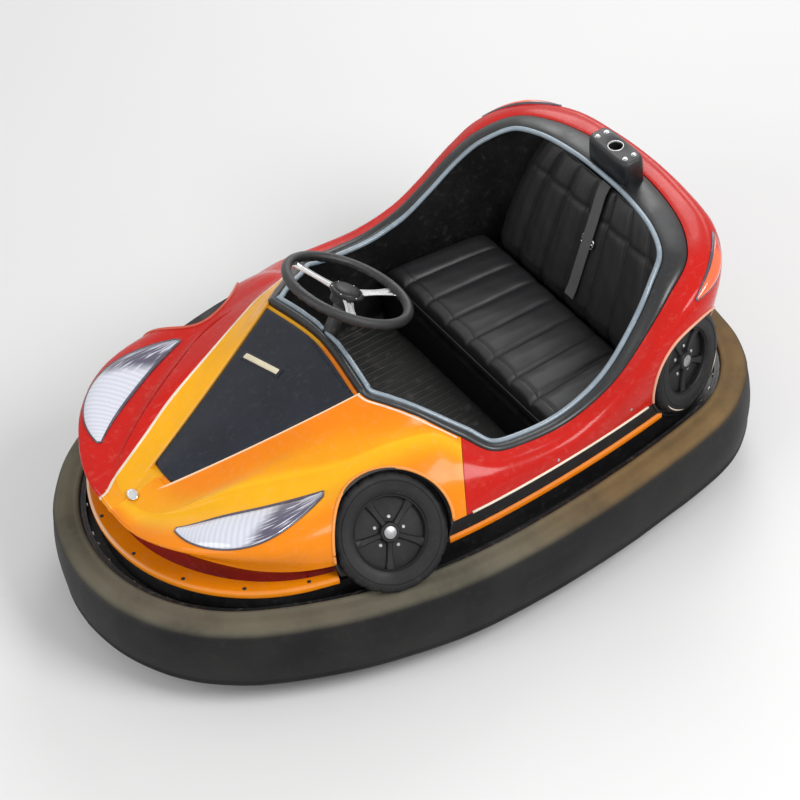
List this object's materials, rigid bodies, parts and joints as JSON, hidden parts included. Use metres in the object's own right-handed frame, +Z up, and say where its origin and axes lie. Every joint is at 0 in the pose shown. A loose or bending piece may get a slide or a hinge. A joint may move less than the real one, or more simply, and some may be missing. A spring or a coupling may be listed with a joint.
{
  "type": "bumper car",
  "caption": "Fairground bumper car: open moulded body with a bench seat inside a rubber bumper ring, steered drive wheel in front and free wheels behind.",
  "frame": {"origin": "on the floor, under the middle of the bumper ring", "axes": "+X forward along the car's length, +Y to the driver's left, +Z up"},
  "size_m": [1.6, 1.088, 0.716],
  "materials": {
    "painted_steel": "satin black paint, scuffed",
    "black_moulding": "matt black moulding",
    "bumper_rubber": "black rubber with a dusty worn top",
    "orange_moulding": "glossy orange to yellow gel coat",
    "dark_red_moulding": "dark red gloss recess",
    "red_moulding": "glossy red gel coat",
    "charcoal_moulding": "dark blue-grey satin panel",
    "bright_trim": "bright metal",
    "coaming_moulding": "black satin moulding",
    "grey_trim": "grey-blue edge trim",
    "mat_rubber": "ribbed black rubber",
    "seat_cloth": "black vinyl cloth",
    "battery_case": "dark battery case",
    "bare_aluminium": "worn tread plate",
    "headlamp_lens": "white lit lens",
    "tail_lamp_lens": "red-orange lens",
    "dummy_wheel_moulding": "black moulded wheel with silvery spokes",
    "steering_wheel_rim": "black grained rim",
    "motor_case": "grey cast case",
    "tyre_rubber": "solid black tyre",
    "cast_hub": "cast hub"
  },
  "bodies": {
    "chassis": {"floor_pan": "painted_steel", "cross_members": "painted_steel", "chassis_wall": "black_moulding", "deck_flange": "painted_steel", "bumper_band": "painted_steel", "bumper_ring": "bumper_rubber", "lower_lip": "orange_moulding", "waist_band": "black_moulding", "mouth_recess": "dark_red_moulding", "front_body": "orange_moulding", "rear_body": "red_moulding", "hood_panel": "charcoal_moulding", "nose_badge": "bright_trim", "coaming": "coaming_moulding", "coaming_trim": "grey_trim", "cockpit_liner": "coaming_moulding", "front_bulkhead": "coaming_moulding", "floor_mat": "mat_rubber", "seat_box": "coaming_moulding", "seat_cushion": "seat_cloth", "seat_back": "seat_cloth", "dashboard": "coaming_moulding", "dash_dials": "bright_trim", "column_tube": "painted_steel", "column_gaiter": "mat_rubber", "drive_drum": "painted_steel", "battery": "battery_case", "pole_socket": "black_moulding", "pedal": "bare_aluminium", "headlamp_left": "headlamp_lens", "headlamp_right": "headlamp_lens", "tail_lamp_left": "tail_lamp_lens", "tail_lamp_right": "tail_lamp_lens", "wheel_recesses": "black_moulding", "dummy_wheels": "dummy_wheel_moulding", "rear_axle": "painted_steel"},
    "steering_wheel": {"steering_wheel": "steering_wheel_rim"},
    "drive_unit": {"drive_fork": "painted_steel", "drive_motor": "motor_case"},
    "drive_wheel": {"drive_wheel_tyre": "tyre_rubber", "drive_wheel_hub": "cast_hub"},
    "rear_wheel_left": {"rear_tyre_left": "tyre_rubber", "rear_hub_left": "cast_hub"},
    "rear_wheel_right": {"rear_tyre_right": "tyre_rubber", "rear_hub_right": "cast_hub"}
  },
  "joints": [
    {"name": "drive_steer", "type": "hinge", "parent": "chassis", "child": "drive_unit", "pos_m": [0.26503, 0, 0.255], "axis": [0, 0, 1], "continuous": true},
    {"name": "steering_wheel_turn", "type": "hinge", "parent": "chassis", "child": "steering_wheel", "pos_m": [0.067, 0, 0.635], "axis": [-0.5, 0, 0.866], "continuous": true},
    {"name": "drive_wheel_spin", "type": "hinge", "parent": "drive_unit", "child": "drive_wheel", "pos_m": [0.26503, 0, 0.095], "axis": [0, 1, 0], "continuous": true},
    {"name": "rear_wheel_left_spin", "type": "hinge", "parent": "chassis", "child": "rear_wheel_left", "pos_m": [-0.4, 0.3175, 0.075], "axis": [0, 1, 0], "continuous": true},
    {"name": "rear_wheel_right_spin", "type": "hinge", "parent": "chassis", "child": "rear_wheel_right", "pos_m": [-0.4, -0.3175, 0.075], "axis": [0, 1, 0], "continuous": true}
  ],
  "couplings": [
    {"joint": "steering_wheel_turn", "follows": "drive_steer", "ratio": 1}
  ]
}
